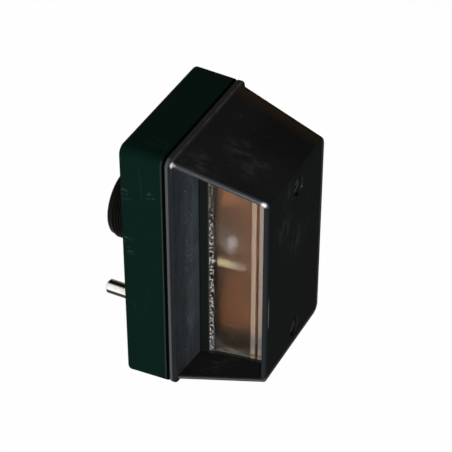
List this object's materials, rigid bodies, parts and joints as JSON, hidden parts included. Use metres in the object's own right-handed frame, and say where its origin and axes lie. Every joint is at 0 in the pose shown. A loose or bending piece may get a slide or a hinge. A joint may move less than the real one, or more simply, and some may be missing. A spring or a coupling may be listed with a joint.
{
  "type": "number plate lamp",
  "caption": "Number plate lamp: a green base tray with a threaded cable spigot and a locating pin at its back, under a tapered black hood whose side recess holds a clear lens.",
  "frame": {"origin": "middle of the base's outline, on its mounting face", "axes": "+Y out of the mounting face along the spigot, +Z along the lamp's long side with the locating pin towards -Z, the lens looks towards -X"},
  "size_m": [0.0524, 0.0665, 0.0932],
  "materials": {
    "base_green": "dark green moulding, worn satin",
    "hood_black": "glossy black moulding with fine scratches",
    "lens_clear": "clear moulding with a frosted lip",
    "spigot_black": "black moulding with a coarse thread",
    "seal_rubber": "soft matt black",
    "pin_nickel": "nickel plated, turned",
    "reflector_bronze": "pressed sheet with a bronze tarnish",
    "screw_black": "blackened",
    "screw_steel": "zinc plated",
    "bracket_steel": "zinc plated sheet",
    "contact_brass": "plain",
    "block_brown": "dark brown insulating moulding",
    "bulb_insulator_black": "black glassy insulator",
    "bulb_glass_clear": "clear",
    "wire_dark": "drawn wire"
  },
  "bodies": {
    "root": {"base_housing": "base_green", "threaded_spigot": "spigot_black", "spigot_seal": "seal_rubber", "locating_pin": "pin_nickel", "hood_gasket": "seal_rubber", "hood": "hood_black", "lens": "lens_clear", "lens_gasket": "seal_rubber", "reflector": "reflector_bronze", "cover_screws": "screw_black", "screw_seals": "seal_rubber", "thread_inserts": "contact_brass", "terminal_block": "block_brown", "terminal_inserts": "contact_brass", "holder_bracket": "bracket_steel", "live_strip": "contact_brass", "bracket_screws": "screw_steel", "terminal_screws": "screw_steel", "bulb_socket": "contact_brass", "socket_insulator": "block_brown", "contact_plunger": "contact_brass", "contact_spring": "wire_dark", "bulb_contact": "contact_brass", "bulb_insulator": "bulb_insulator_black", "bulb_cap": "contact_brass", "bulb_glass": "bulb_glass_clear", "bulb_stem": "bulb_glass_clear", "filament_posts": "wire_dark", "filament": "wire_dark"}
  },
  "joints": []
}
